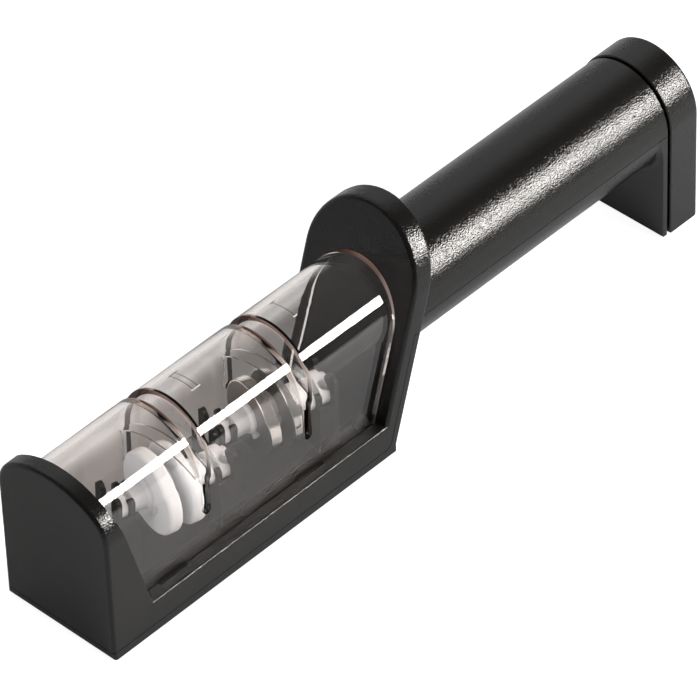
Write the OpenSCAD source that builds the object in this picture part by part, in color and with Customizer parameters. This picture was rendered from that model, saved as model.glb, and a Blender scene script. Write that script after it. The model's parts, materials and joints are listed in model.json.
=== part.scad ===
// Two-stage roller knife sharpener. A long base with an arched clear cover over two skewed
// pairs of grinding wheels, a leaning collar, and a round handle that ends in a leg.
// X runs from the front block to the end cap, Y across, Z up. The origin is on the floor,
// in the middle of the length and width.

/* [Overall] */
// Overall length, from the front face to the end cap
overall_l = 250; // [225:1:290]
// Width of the base and of the collar
base_w = 42.2; // [41.6:0.2:46]
// Height of the axis that the cover's arch and the handle share
axis_z = 39.3; // [38.5:0.1:41]
// How far the rubber feet stand below the shells
foot_proud = 0.6; // [0.3:0.1:1.2]
// Rounding of the outer edges of the shells
edge_r = 1.3; // [0.6:0.1:1.8]

/* [Front block] */
// Height of the block's crown
block_top_z = 57; // [56:0.5:60]
// Radius of the flat crown
block_crown_r = 30; // [26:0.5:40]
// Radius of the shoulders beside the crown
block_corner_r = 10.5; // [8:0.5:14]
// Thickness of the block at its crown
block_top_t = 5.2; // [4.4:0.1:6.5]
// Thickness of the block where it meets the rails
block_foot_t = 15.9; // [14:0.1:18]
// Run of the block's rear face towards the front for each unit of height
block_lean = 0.28; // [0.22:0.01:0.3]

/* [Rails] */
// Height of the rails beside the cover
rail_z = 12; // [11:0.1:14]
// Rounding of the rails' upper outer edges
rail_r = 0.7; // [0.3:0.1:1.2]
// Height of the seam between the base shell and the top shell
pan_z = 3.3; // [2.9:0.1:4]
// Width of the dark line left open along the seams
seam_gap = 0.2; // [0.1:0.05:0.3]

/* [Collar] */
// Front face of the collar at floor level
collar_x = 106.7; // [104:0.1:112]
// Thickness of the collar along the length
collar_t = 7.45; // [6.6:0.05:9]
// Lean of the collar towards the handle for each unit of height
collar_lean = 0.32; // [0.26:0.01:0.36]
// Height of the collar's crown
collar_top_z = 72; // [70:0.5:76]
// Strip of the collar that belongs to the base shell
collar_strip = 3.2; // [2.6:0.1:4]
// Rounding of the seam where it turns up the collar
seam_turn_r = 3.5; // [2:0.1:5]

/* [Handle] */
// Diameter of the handle
handle_d = 34.4; // [32:0.2:35]
// Wall of the hollow shells
shell_wall = 2.6; // [2:0.1:3.4]
// Thickness of the ring ribs inside the handle
rib_t = 1.2; // [0.8:0.1:1.6]
// Height of those ribs
rib_h = 2.4; // [1.5:0.1:4]
// How far the handle's seam lies below its axis
seam_drop = 0.8; // [0.4:0.1:2]

/* [Leg and end cap] */
// Thickness of the leg's front plate
leg_plate_t = 1.8; // [1.4:0.1:2.6]
// Open groove between the leg's plate and the end cap
leg_groove = 1; // [0.6:0.1:1.6]
// Depth of that groove
leg_groove_depth = 1.3; // [1:0.1:1.8]
// How far the neck of the leg reaches into the end cap
neck_plug = 8.5; // [7:0.5:9]
// Length of the end cap
cap_l = 12.4; // [11:0.1:16]
// Width of the end cap
cap_w = 35.2; // [35.2:0.1:36.4]
// Rounding of the cap's edge by the groove and of the leg plate's foot
lip_r = 0.5; // [0.2:0.1:0.8]
// Fillet where the handle's lower half runs into the leg plate
leg_fillet = 2.4; // [1:0.2:4]
// Clearance of parts that plug or drop into each other
fit = 0.1; // [0.05:0.01:0.15]

/* [Clear cover] */
// Width of the cover
cover_w = 33.6; // [33:0.1:34.4]
// Wall of the cover
cover_wall = 2; // [1.6:0.1:2.4]
// Clearance between the cover and the housing round it
cover_gap = 0.3; // [0.2:0.05:0.4]
// Width of a knife slot at its mouth
mouth_w = 5; // [4.6:0.1:5.6]
// Width of a knife slot at the foot of its guide walls
throat_w = 4.2; // [3.6:0.1:4.4]
// Width of the narrow slot down the cover's sides
slot_w = 2.8; // [2.2:0.1:3.2]
// Height of the floor of the narrow slot
slot_floor_z = 24; // [22:0.5:28]
// Thickness of a guide wall at the mouth
guide_lip_t = 1.8; // [1.4:0.1:2.2]
// Thickness of a guide wall at its foot
guide_foot_t = 1.1; // [0.9:0.1:1.5]
// Height of the guide walls' lower edge at the cover's sides
guide_side_z = 37; // [36:0.5:39]
// Height of the guide walls' lower edge in the middle
guide_mid_z = 42.8; // [41:0.1:44]
// Length of a locating lug on the cover's foot
lug_l = 10.8; // [8:0.2:13]
// How far a locating lug stands out of the cover's side
lug_t = 0.9; // [0.6:0.1:1.1]
// Place of the front lugs along the length
lug_x = 27.9; // [26:0.1:32]
// Distance from the front lugs to the rear lugs
lug_pitch = 55.5; // [50:0.5:58]

/* [Wheel sets] */
// Place of the front knife slot along the length
first_slot_x = 42.8; // [42.6:0.1:43.4]
// Distance between the two knife slots
slot_pitch = 40.7; // [40.5:0.1:42]
// Angle that each wheel set is turned to the length
skew = 13.7; // [11:0.1:15]
// How far a wheel set sits ahead of the middle of its knife slot
set_ahead = 0.6; // [0:0.1:0.9]
// Height of the spindles
spindle_z = 24.9; // [24.4:0.1:25.4]
// Distance between the two wheels of a set
wheel_pitch = 7.9; // [7.4:0.1:8.2]
// Diameter of the fine ceramic wheels
ceramic_d = 24.9; // [24:0.1:25.6]
// Thickness of a ceramic wheel
ceramic_t = 4.4; // [3.8:0.1:4.8]
// Radius of a ceramic wheel's rounded rim
ceramic_round = 1; // [0.6:0.1:1.2]
// Diameter of the coarse diamond wheels
diamond_d = 23.2; // [21:0.1:25]
// Thickness of a diamond wheel
diamond_t = 3.6; // [3:0.1:4.2]
// Radius of a diamond wheel's rounded rim
diamond_round = 0.3; // [0.2:0.05:0.8]
// Diameter of the shaft that the wheels sit on
core_d = 5; // [4.4:0.1:5.4]
// Diameter of the sleeves at both ends of a spindle
sleeve_d = 9.2; // [8.6:0.1:9.6]
// Diameter of the journals that turn in the cradles
journal_d = 6; // [5.6:0.1:6.4]
// Depth of the notches in a hub's crown
notch_l = 2.2; // [1.6:0.1:2.4]
// Width of those notches at their mouths
notch_w = 2.6; // [1.8:0.1:2.8]
// Radial running clearance of a journal
journal_play = 0.05; // [0.02:0.01:0.09]

/* [Wheel tray] */
// Thickness of the tray's floor
tray_t = 3; // [2.4:0.1:3.4]
// Height of the tray's low walls above its floor
tray_wall_h = 4; // [3:0.1:4.4]
// Thickness of the tray's low walls
tray_wall_t = 1.3; // [1:0.1:1.6]
// Distance from a spindle's middle to the inner plate of its front cradle
front_inner_s = 13; // [12.8:0.1:13.4]
// Distance from a spindle's middle to the outer plate of its front cradle
front_outer_s = 17.7; // [17.4:0.1:17.9]
// Distance from a spindle's middle to the inner plate of its rear cradle
rear_inner_s = 14.4; // [14.2:0.1:14.6]
// Distance from a spindle's middle to the outer plate of its rear cradle
rear_outer_s = 19.4; // [19.2:0.1:19.6]
// Thickness of a cradle plate
plate_t = 1.5; // [1.2:0.1:1.6]
// Half of the width over the two prongs of an outer plate
outer_reach = 6.2; // [5.8:0.1:6.4]
// Half of the width over the two prongs of an inner plate
inner_reach = 5.4; // [5.2:0.1:5.7]
// Height of the outer prongs' tips above the spindle
outer_rise = 6.7; // [6:0.1:7]
// Height of the front inner prongs' tips above the spindle
front_inner_rise = 4; // [3:0.1:5]
// Height of the rear inner prongs' tips above the spindle
rear_inner_rise = 2.3; // [2:0.1:3]

/* [Rubber and screws] */
// Thickness of the rubber pads
pad_t = 1.6; // [1.4:0.1:2]
// Length of the sole pad
sole_l = 84; // [70:1:88]
// Width of the sole pad
sole_w = 30; // [26:0.5:32]
// Corner radius of the sole pad
sole_r = 6; // [3:0.5:9]
// Length of the heel pad along the part
heel_l = 6.4; // [5:0.1:7]
// Width of the heel pad across the part
heel_w = 26; // [22:0.5:28]
// Diameter of the screws' thread
screw_d = 2.6; // [2.2:0.1:2.8]
// Diameter of the screws' heads
head_d = 5.2; // [4.6:0.1:5.4]
// Height of the screws' heads
head_h = 1.5; // [1.2:0.1:1.6]
// Length of a screw under its head
screw_l = 10; // [8:0.5:11]
// Place of the base screws along the length
base_screw_x = 7.4; // [7:0.1:8.2]
// Distance of the base screws from the middle plane
base_screw_y = 14; // [12:0.1:15]
// Place of the first handle screw behind the collar's foot
handle_screw_x = 26; // [22:0.5:34]
// Place of the second handle screw ahead of the leg
handle_screw_back = 18; // [14:0.5:30]

/* [Hidden] */
$fn = 96;
// Overrun of every cut past the surface that it opens
cut = 1;
// Steps in a rounded edge and in an arched outline
edge_steps = 4;
arc_steps = 14;

half_w = base_w / 2;
cover_half = cover_w / 2;
handle_r = handle_d / 2;
seam_z = axis_z - seam_drop;
collar_rear_x = collar_x + collar_t;
leg_plate_x = overall_l - cap_l - leg_groove - leg_plate_t;
cap_x = overall_l - cap_l;
neck_half = handle_r - leg_groove_depth;
cavity_r = handle_r - shell_wall;
tray_floor_z = pan_z + tray_t;
cover_foot_z = tray_floor_z + cover_gap;
stage_x = [first_slot_x, first_slot_x + slot_pitch];
lug_top_z = rail_z - cover_gap;
lug_drop = 3.2 * lug_t;
cradle_drop = spindle_z - pan_z - tray_t / 2;
neck_foot_z = pad_t + head_h + shell_wall / 2;

// Place of the block's leaning rear face at height z
function block_rear_x(z) = block_foot_t - block_lean * (z - rail_z);
// Place of the collar's front face at height z
function collar_front_x(z) = collar_x + collar_lean * z;
// Place of the collar's seam at height z
function collar_seam_x(z) = collar_front_x(z) + collar_t - collar_strip;

// Half of an arched outline: straight side, shoulder arc and flatter crown arc
function shoulder_a(half, corner, crown) = half > corner ? asin((half - corner) / (crown - corner)) : 0;
function shoulder_z(top, half, corner, crown) =
    top - crown + (crown - corner) * cos(shoulder_a(half, corner, crown));
function half_arch(half, top, corner, crown) =
    let (a = shoulder_a(half, corner, crown), z = shoulder_z(top, half, corner, crown))
    concat(
        [for (i = [0 : arc_steps]) let (t = (90 - a) * i / arc_steps)
            [half - corner + corner * cos(t), z + corner * sin(t)]],
        a > 0 ? [for (i = [1 : arc_steps - 1]) let (t = 90 - a + a * i / arc_steps)
            [crown * cos(t), top - crown + crown * sin(t)]] : []);
function mirrored(points) = [for (i = [len(points) - 1 : -1 : 0]) [-points[i][0], points[i][1]]];

// Ring of points on an arched outline at place x, drawn in from its edge by inset, leaned by k
function arch_ring(x, k, half, top, corner, crown, inset) =
    let (side = half_arch(half - inset, top - inset, corner - inset, crown - inset),
        foot = foot_proud + inset,
        outline = concat([[half - inset, foot]], side, mirrored(side), [[-half + inset, foot]]))
    [for (p = outline) [x + k * p[1], p[0], p[1]]];

// Rings that round the front edge by r, and the same turned round for the rear edge
function edge_rings(x, way, r, k, half, top, corner, crown) = [for (i = [0 : edge_steps])
    let (t = 90 * (way > 0 ? i : edge_steps - i) / edge_steps)
    arch_ring(x + way * r * (1 - cos(t)), k, half, top, corner, crown, r * (1 - sin(t)))];

// Closed skin over a list of rings with the same number of points
module loft(rings) {
    n = len(rings[0]);
    last = (len(rings) - 1) * n;
    polyhedron(points = [for (ring = rings, p = ring) p], faces = concat(
        [[for (j = [0 : n - 1]) j]],
        [for (i = [0 : n : last - n], j = [0 : n - 1]) let (next = (j + 1) % n)
            [i + next, i + j, i + n + j]],
        [for (i = [0 : n : last - n], j = [0 : n - 1]) let (next = (j + 1) % n)
            [i + next, i + n + j, i + n + next]],
        [[for (j = [n - 1 : -1 : 0]) last + j]]));
}

// Plain arch: a half circle on straight sides
module round_arch(half, floor_z, mid_z) {
    translate([0, mid_z]) circle(r = half);
    translate([-half, floor_z]) square([2 * half, mid_z - floor_z]);
}

module along_x(length) rotate([90, 0, 90]) linear_extrude(length) children();
module across_y(width) rotate([90, 0, 0]) linear_extrude(width, center = true) children();
module in_frame() translate([-overall_l / 2, 0, 0]) children();

// Turned solid round the X axis, from a half profile of radius and place
module turned(profile) rotate([0, 90, 0]) rotate_extrude() polygon(profile);

module disc_x(r, length) rotate([0, 90, 0]) cylinder(r = r, h = length);

// Front block with a rounded front edge and a rear face that leans forward
module block_solid() {
    knee_z = rail_z + (block_foot_t - block_top_t) / block_lean;
    intersection() {
        loft(concat(edge_rings(0, 1, edge_r, 0, half_w, block_top_z, block_corner_r, block_crown_r),
            [arch_ring(block_foot_t + cut, 0, half_w, block_top_z, block_corner_r, block_crown_r, 0)]));
        across_y(base_w + 2 * cut) polygon([[-cut, 0], [block_foot_t, 0], [block_foot_t, rail_z],
            [block_top_t, knee_z], [block_top_t, block_top_z + cut], [-cut, block_top_z + cut]]);
    }
}

// Collar: an arched plate that leans back, both outer edges rounded
module collar_solid() {
    loft(concat(edge_rings(collar_x, 1, edge_r, collar_lean, half_w, collar_top_z, half_w, half_w),
        edge_rings(collar_rear_x, -1, edge_r, collar_lean, half_w, collar_top_z, half_w, half_w)));
}

// Handle: a round bar whose front end leans with the collar and lies inside it
module handle_solid() {
    top_z = axis_z + handle_r + cut;
    intersection() {
        translate([collar_x, 0, axis_z]) disc_x(handle_r, leg_plate_x + leg_plate_t - collar_x);
        across_y(base_w) polygon([[collar_x + collar_t / 2, 0], [collar_front_x(top_z) + collar_t / 2, top_z],
            [overall_l, top_z], [overall_l, 0]]);
    }
}

// Leg: the front plate and the smaller neck behind the open groove
module leg_solid() {
    r = leg_fillet;
    intersection() {
        translate([leg_plate_x, 0, 0]) along_x(leg_plate_t) round_arch(handle_r, foot_proud, axis_z);
        across_y(base_w) polygon(concat(
            [for (i = [0 : edge_steps]) let (t = 90 * i / edge_steps)
                [leg_plate_x + lip_r - lip_r * cos(t), foot_proud + lip_r - lip_r * sin(t)]],
            [[cap_x, foot_proud], [cap_x, axis_z + handle_r + cut], [leg_plate_x, axis_z + handle_r + cut]]));
    }
    intersection() {
        translate([leg_plate_x, 0, axis_z]) turned(concat([[0, -r]],
            [for (i = [0 : edge_steps]) let (t = 90 * i / edge_steps)
                [handle_r + r - r * cos(t), -r + r * sin(t)]],
            [[handle_r + r, leg_plate_t / 2], [0, leg_plate_t / 2]]));
        translate([leg_plate_x - r, 0, 0]) along_x(r + leg_plate_t / 2)
            round_arch(handle_r, foot_proud, axis_z);
    }
    translate([leg_plate_x, 0, 0]) along_x(leg_plate_t + leg_groove + neck_plug)
        round_arch(neck_half, neck_foot_z, axis_z);
}

// Cross section of the base with its rounded upper edges
module rail_outline() {
    side = [for (i = [0 : edge_steps]) let (t = 90 * i / edge_steps)
        [half_w - rail_r + rail_r * cos(t), rail_z - rail_r + rail_r * sin(t)]];
    polygon(concat([[half_w, foot_proud]], side, mirrored(side), [[-half_w, foot_proud]]));
}

module housing_solid() {
    block_solid();
    translate([edge_r, 0, 0]) along_x(collar_front_x(rail_z) - edge_r + collar_t / 2) rail_outline();
    collar_solid();
    handle_solid();
    leg_solid();
}

// Side view of the space that belongs to the base shell, grown by gap
module base_region(gap) {
    z = pan_z + gap;
    k = collar_lean;
    x0 = collar_seam_x(0) - gap;
    turn_z = z + seam_turn_r;
    turn_x = x0 + k * turn_z - seam_turn_r * sqrt(1 + k * k);
    polygon(concat(
        [[-cut, -cut], [overall_l + cut, -cut], [overall_l + cut, seam_z + gap],
            [x0 + k * (seam_z + gap), seam_z + gap]],
        [for (i = [0 : edge_steps]) let (t = -atan(k) - (90 - atan(k)) * i / edge_steps)
            [turn_x + seam_turn_r * cos(t), turn_z + seam_turn_r * sin(t)]],
        [[-cut, z]]));
}

// Hollow of the handle, from the collar to the leg, open into the neck
module handle_hollow() {
    x0 = collar_front_x(axis_z + cavity_r) + collar_t + shell_wall;
    length = leg_plate_x - leg_fillet - shell_wall - x0;
    ribs = 4;
    bay = (length - ribs * rib_t) / (ribs + 1);
    translate([x0, 0, axis_z]) {
        disc_x(cavity_r - rib_h, length);
        for (i = [0 : ribs]) translate([i * (bay + rib_t), 0, 0]) disc_x(cavity_r, bay);
    }
    translate([leg_plate_x + leg_plate_t, 0, 0]) along_x(leg_groove + neck_plug + cut)
        round_arch(neck_half - shell_wall, neck_foot_z + shell_wall, axis_z);
}

// Hollow of the front block, behind its face and below its shoulders
module block_hollow() {
    top_z = shoulder_z(block_top_z, half_w, block_corner_r, block_crown_r) - shell_wall;
    rear_x = tray_x0 - fit - shell_wall;
    across_y(base_w - 2 * shell_wall) polygon([[shell_wall, -cut], [rear_x, -cut], [rear_x, rail_z],
        [block_rear_x(top_z) - shell_wall, top_z], [shell_wall, top_z]]);
}

// Well of the top shell that holds the cover's foot, with the rebate for the tray below it
module well() {
    across_y(cover_w + 2 * cover_gap) polygon([[block_rear_x(-cut), -cut],
        [collar_front_x(-cut), -cut], [collar_front_x(rail_z + cut), rail_z + cut],
        [block_rear_x(rail_z + cut), rail_z + cut]]);
    tray_block(fit, tray_floor_z + fit + cut);
    for (x = [lug_x, lug_x + lug_pitch], side = [-1, 1])
        translate([x, side * (cover_half + cover_gap), 0])
            translate([-lug_l / 2 - cover_gap, -lug_t, lug_top_z - lug_drop - cover_gap])
                cube([lug_l + 2 * cover_gap, 2 * lug_t, lug_drop + rail_z]);
}

tray_x0 = block_rear_x(tray_floor_z) - shell_wall;
tray_x1 = collar_front_x(tray_floor_z) + shell_wall / 4;
tray_half = (half_w + cover_half) / 2;

// Plain block of the tray's floor, grown by gap, with its foot one cut below
module tray_block(gap, height) {
    translate([tray_x0 - gap, -tray_half - gap, -cut])
        cube([tray_x1 - tray_x0 + 2 * gap, 2 * (tray_half + gap), height]);
}

boss_r = screw_d / 2 + shell_wall / 2;
base_head_z = foot_proud + head_h;
handle_head_z = seam_z - screw_l / 2;
cap_head_z = pad_t + head_h;
cap_screw_x = cap_x + cap_l / 2;

module at_base_screws() for (side = [-1, 1]) translate([base_screw_x, side * base_screw_y, 0]) children();
module at_handle_screws() for (x = [collar_rear_x + handle_screw_x, leg_plate_x - handle_screw_back])
    translate([x, 0, 0]) children();

// Clearance hole for a screw from below, with the bore for its head
module screw_hole(head_z, top_z) {
    translate([0, 0, -cut]) cylinder(d = screw_d + 2 * fit, h = top_z + 2 * cut);
    translate([0, 0, -cut]) cylinder(d = head_d + 2 * fit, h = head_z + cut);
}

// Round posts inside the handle, between two heights
module handle_bosses(from_z, to_z) {
    intersection() {
        at_handle_screws() translate([0, 0, from_z]) cylinder(r = 2 * boss_r, h = to_z - from_z);
        translate([collar_rear_x, 0, axis_z]) disc_x(handle_r - shell_wall / 2, overall_l);
    }
}

module base_shell() color("#1d1d1f") in_frame() {
    neck_boss_z = cap_head_z + screw_l + cut;
    difference() {
        union() {
            difference() {
                intersection() {
                    housing_solid();
                    across_y(base_w + 2 * cut) base_region(0);
                }
                handle_hollow();
            }
            handle_bosses(axis_z - handle_r, seam_z);
            translate([cap_screw_x, 0, neck_foot_z]) cylinder(r = boss_r, h = neck_boss_z - neck_foot_z);
        }
        at_base_screws() screw_hole(base_head_z, pan_z);
        at_handle_screws() screw_hole(handle_head_z, seam_z);
        translate([cap_screw_x, 0, 0]) cylinder(d = screw_d, h = cap_head_z + screw_l);
        translate([0, 0, -cut]) sole_outline(fit, pad_t + cut);
    }
}

module top_shell() color("#1d1d1f") in_frame() {
    difference() {
        union() {
            difference() {
                housing_solid();
                across_y(base_w + 2 * cut) base_region(seam_gap);
                handle_hollow();
                block_hollow();
                well();
            }
            handle_bosses(seam_z, axis_z + handle_r);
            at_base_screws() translate([0, 0, pan_z]) {
                cylinder(r = boss_r, h = screw_l + cut);
                translate([-base_screw_x + shell_wall / 2, -screw_d / 2, seam_gap])
                    cube([base_screw_x - shell_wall / 2, screw_d, screw_l]);
            }
        }
        at_base_screws() cylinder(d = screw_d, h = base_head_z + screw_l);
        at_handle_screws() translate([0, 0, seam_z - cut]) cylinder(d = screw_d, h = screw_l / 2 + cut);
    }
}

// End cap: rounded arch, hollow from the front, over the neck of the leg
module end_cap() color("#1d1d1f") in_frame() {
    half = cap_w / 2;
    inner = neck_half + fit;
    difference() {
        loft(concat(edge_rings(cap_x, 1, lip_r, 0, half, axis_z + half, half, half),
            edge_rings(overall_l, -1, edge_r, 0, half, axis_z + half, half, half)));
        translate([cap_x - cut, 0, 0]) along_x(cap_l - shell_wall + cut)
            round_arch(inner, neck_foot_z - fit, axis_z);
        translate([cap_screw_x, 0, 0]) screw_hole(cap_head_z, neck_foot_z);
        heel_block(fit, pad_t);
    }
}

// Rounded block of the heel pad, grown by gap
module heel_block(gap, top_z) {
    translate([cap_x + (cap_l - heel_l) / 2 - gap, -heel_w / 2 - gap, 0])
        cube([heel_l + 2 * gap, heel_w + 2 * gap, top_z]);
}

module heel_pad() color("#262626") in_frame() heel_block(0, pad_t);

// Rounded outline of the sole pad, grown by gap
module sole_outline(gap, height) {
    translate([(tray_x0 + tray_x1) / 2, 0, 0]) linear_extrude(height) {
        square([sole_l + 2 * gap, sole_w - 2 * sole_r], center = true);
        square([sole_l - 2 * sole_r, sole_w + 2 * gap], center = true);
        for (sx = [-1, 1], sy = [-1, 1])
            translate([sx * (sole_l / 2 - sole_r), sy * (sole_w / 2 - sole_r)]) circle(r = sole_r + gap);
    }
}

module sole_pad() color("#262626") in_frame() sole_outline(0, pad_t);

// One screw from below, its head's lower face at z
module screw(z) {
    translate([0, 0, z - head_h]) difference() {
        cylinder(d = head_d, h = head_h);
        translate([0, 0, -cut]) cylinder(d = head_d / 2, h = cut + head_h / 2, $fn = 6);
    }
    translate([0, 0, z]) cylinder(d = screw_d, h = screw_l);
}

module base_screws() color("silver") in_frame() at_base_screws() screw(base_head_z);

module handle_screws() color("silver") in_frame() at_handle_screws() screw(handle_head_z);

module cap_screw() color("silver") in_frame() translate([cap_screw_x, 0, 0]) screw(cap_head_z);

// One plate of a cradle at place s on the spindle: a wide foot and two rounded prongs
module cradle_plate(s, reach, rise) {
    notch_r = journal_d / 2 + journal_play;
    lip = notch_r * 0.86;
    tip_r = (reach - notch_r) / 2;
    translate([s - plate_t / 2, 0, 0]) along_x(plate_t) difference() {
        union() {
            translate([-outer_reach, -cradle_drop]) square([2 * outer_reach, cradle_drop - journal_d / 3]);
            translate([-reach, -cradle_drop]) square([2 * reach, cradle_drop + rise - tip_r]);
            for (v = [-1, 1]) translate([v * (reach - tip_r), rise - tip_r]) circle(r = tip_r, $fn = 48);
        }
        circle(r = notch_r);
        translate([-lip, 0]) square([2 * lip, rise + cut]);
        translate([-reach + 2 * tip_r, rise - tip_r]) square([2 * reach - 4 * tip_r, rise]);
    }
}

// One cradle: an inner and an outer plate, joined by side webs
module cradle(inner_s, outer_s, inner_rise) {
    web_t = outer_reach - sleeve_d / 2 - 2 * cover_gap;
    cradle_plate(inner_s, inner_reach, inner_rise);
    cradle_plate(outer_s, outer_reach, outer_rise);
    for (v = [-1, 1])
        translate([min(inner_s, outer_s), v > 0 ? outer_reach - web_t : -outer_reach, -cradle_drop])
            cube([abs(outer_s - inner_s), web_t, cradle_drop - journal_d / 3]);
}

module at_stage(i) translate([stage_x[i] - set_ahead, 0, spindle_z]) rotate([0, 0, -skew]) children();

module wheel_tray() color("#2a2a2c") in_frame() {
    wall_x0 = block_rear_x(tray_floor_z) + cover_gap;
    wall_x1 = collar_front_x(tray_floor_z) - cover_gap;
    wall_y = cover_half - cover_wall - cover_gap;
    intersection() {
        tray_block(0, tray_floor_z + cut);
        translate([0, -half_w, pan_z]) cube([overall_l, base_w, tray_t]);
    }
    for (side = [-1, 1])
        translate([wall_x0, side > 0 ? wall_y - tray_wall_t : -wall_y, pan_z + tray_t / 2])
            cube([wall_x1 - wall_x0, tray_wall_t, tray_wall_h + tray_t / 2]);
    for (i = [0, 1]) at_stage(i) {
        cradle(-front_inner_s, -front_outer_s, front_inner_rise);
        cradle(rear_inner_s, rear_outer_s, rear_inner_rise);
    }
}

// Side view of the cover between the block and the collar
module cover_side(z0, z1) {
    knee_z = rail_z + (block_foot_t - block_top_t) / block_lean;
    polygon([[block_rear_x(z0) + cover_gap, z0], [collar_front_x(z0) - cover_gap, z0],
        [collar_front_x(z1) - cover_gap, z1], [block_top_t + cover_gap, z1],
        [block_top_t + cover_gap, knee_z]]);
}

cover_top_z = axis_z + cover_half;
mouth_half = mouth_w / 2;
throat_half = throat_w / 2;

// Side view of the guide walls of one slot, from the mouth down to their feet
module guide_side() {
    for (side = [-1, 1]) polygon([[side * mouth_half, cover_top_z + cut], [side * throat_half, guide_side_z],
        [side * (throat_half + guide_foot_t), guide_side_z], [side * (mouth_half + guide_lip_t), cover_top_z],
        [side * (mouth_half + guide_lip_t), cover_top_z + cut]]);
}

// Side view of the open slot: a tapered mouth on a narrow slot with a round floor
module slot_side() {
    r = slot_w / 2;
    polygon([[-mouth_half, cover_top_z + cut], [-throat_half, guide_side_z], [-r, guide_side_z - r],
        [r, guide_side_z - r], [throat_half, guide_side_z], [mouth_half, cover_top_z + cut]]);
    translate([-r, slot_floor_z + r]) square([slot_w, guide_side_z - slot_floor_z - r - r / 2]);
    translate([0, slot_floor_z + r]) circle(r = r, $fn = 48);
}

module clear_cover() color([0.78, 0.7, 0.68, 0.35]) in_frame() {
    rise = guide_mid_z - guide_side_z;
    under_r = (cover_half * cover_half + rise * rise) / (2 * rise);
    inner_half = cover_half - cover_wall;
    difference() {
        union() {
            intersection() {
                difference() {
                    along_x(overall_l) round_arch(cover_half, cover_foot_z, axis_z);
                    translate([-cut, 0, 0]) along_x(overall_l) round_arch(inner_half, 0, axis_z);
                }
                across_y(base_w) cover_side(cover_foot_z, cover_top_z + cut);
            }
            intersection() {
                for (x = stage_x) translate([x, 0, 0]) across_y(cover_w) guide_side();
                difference() {
                    along_x(overall_l) round_arch(cover_half - cover_wall / 2, guide_side_z, axis_z);
                    translate([-cut, 0, guide_mid_z - under_r]) disc_x(under_r, overall_l);
                }
            }
            for (x = [lug_x, lug_x + lug_pitch], side = [-1, 1])
                translate([x - lug_l / 2, side > 0 ? cover_half - cover_wall / 2 : -cover_half - lug_t,
                    lug_top_z - lug_drop]) cube([lug_l, lug_t + cover_wall / 2, lug_drop]);
        }
        for (x = stage_x) translate([x, 0, 0]) across_y(base_w) slot_side();
    }
}

journal_half = 0.7 * plate_t;
spindle_end_s = front_outer_s + journal_half;
hub_end_s = rear_outer_s + journal_half;
crown_end_s = rear_outer_s - journal_half;

// Turned profile from the journal by a plate at place s to the shoulder by the wheel
function shoulder_profile(s, shoulder_s) =
    let (j = journal_d / 2, r = sleeve_d / 2)
    [[r, -s - journal_half], [j, -s - journal_half], [j, -s + journal_half], [r, -s + journal_half],
        [r, -shoulder_s - plate_t], [1.2 * r, -shoulder_s - plate_t / 2], [1.2 * r, -shoulder_s]];

// Spindle: two journals with a sleeve between them, and the shaft that the wheels are pressed on
module spindle(shoulder_s) {
    j = journal_d / 2;
    tip_s = rear_inner_s - 1.5 * plate_t;
    turned(concat([[0, -spindle_end_s], [j, -spindle_end_s], [j, -front_outer_s + journal_half],
        [sleeve_d / 2, -front_outer_s + journal_half]], shoulder_profile(front_inner_s, shoulder_s),
        [[core_d / 2, -shoulder_s], [core_d / 2, tip_s], [0, tip_s]]));
}

// End hub, pressed on the shaft's tip: a sleeve, two journals and a notched crown between them
module end_hub(shoulder_s) {
    j = journal_d / 2;
    tip_s = rear_inner_s - 1.5 * plate_t;
    mirror([1, 0, 0]) difference() {
        turned(concat([[0, -hub_end_s], [j, -hub_end_s], [j, -crown_end_s], [sleeve_d / 2, -crown_end_s]],
            shoulder_profile(rear_inner_s, shoulder_s), [[core_d / 2, -shoulder_s], [core_d / 2, -tip_s],
            [0, -tip_s]]));
        for (a = [45 : 90 : 315]) rotate([a, 0, 0]) translate([-crown_end_s, 0, j + journal_play])
            linear_extrude(sleeve_d) polygon([[-cut, -notch_w / 2], [0, -notch_w / 2],
                [notch_l, -notch_w / 6], [notch_l, notch_w / 6], [0, notch_w / 2], [-cut, notch_w / 2]]);
    }
}

// One wheel of a set, with a rounded rim
module wheel(side, d, t, r) {
    translate([side * wheel_pitch / 2 - t / 2, 0, 0]) turned(concat([[core_d / 2, 0]],
        [for (i = [0 : edge_steps]) let (a = 90 * i / edge_steps)
            [d / 2 - r + r * sin(a), r - r * cos(a)]],
        [for (i = [0 : edge_steps]) let (a = 90 * i / edge_steps)
            [d / 2 - r + r * cos(a), t - r + r * sin(a)]], [[core_d / 2, t]]));
}

module spacer(t) {
    l = wheel_pitch - t;
    translate([-l / 2, 0, 0]) turned([[core_d / 2, 0], [sleeve_d / 2, 0], [sleeve_d / 2, l], [core_d / 2, l]]);
}

module ceramic_spindle() color("white") in_frame() at_stage(0) spindle((wheel_pitch + ceramic_t) / 2);
module ceramic_end_hub() color("white") in_frame() at_stage(0) end_hub((wheel_pitch + ceramic_t) / 2);
module ceramic_spacer() color("white") in_frame() at_stage(0) spacer(ceramic_t);
module ceramic_wheel_front() color("#ece8e2") in_frame() at_stage(0)
    wheel(-1, ceramic_d, ceramic_t, ceramic_round);
module ceramic_wheel_rear() color("#ece8e2") in_frame() at_stage(0)
    wheel(1, ceramic_d, ceramic_t, ceramic_round);

module diamond_spindle() color("white") in_frame() at_stage(1) spindle((wheel_pitch + diamond_t) / 2);
module diamond_end_hub() color("white") in_frame() at_stage(1) end_hub((wheel_pitch + diamond_t) / 2);
module diamond_spacer() color("white") in_frame() at_stage(1) spacer(diamond_t);
module diamond_wheel_front() color("#8d8a86") in_frame() at_stage(1)
    wheel(-1, diamond_d, diamond_t, diamond_round);
module diamond_wheel_rear() color("#8d8a86") in_frame() at_stage(1)
    wheel(1, diamond_d, diamond_t, diamond_round);

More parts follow.
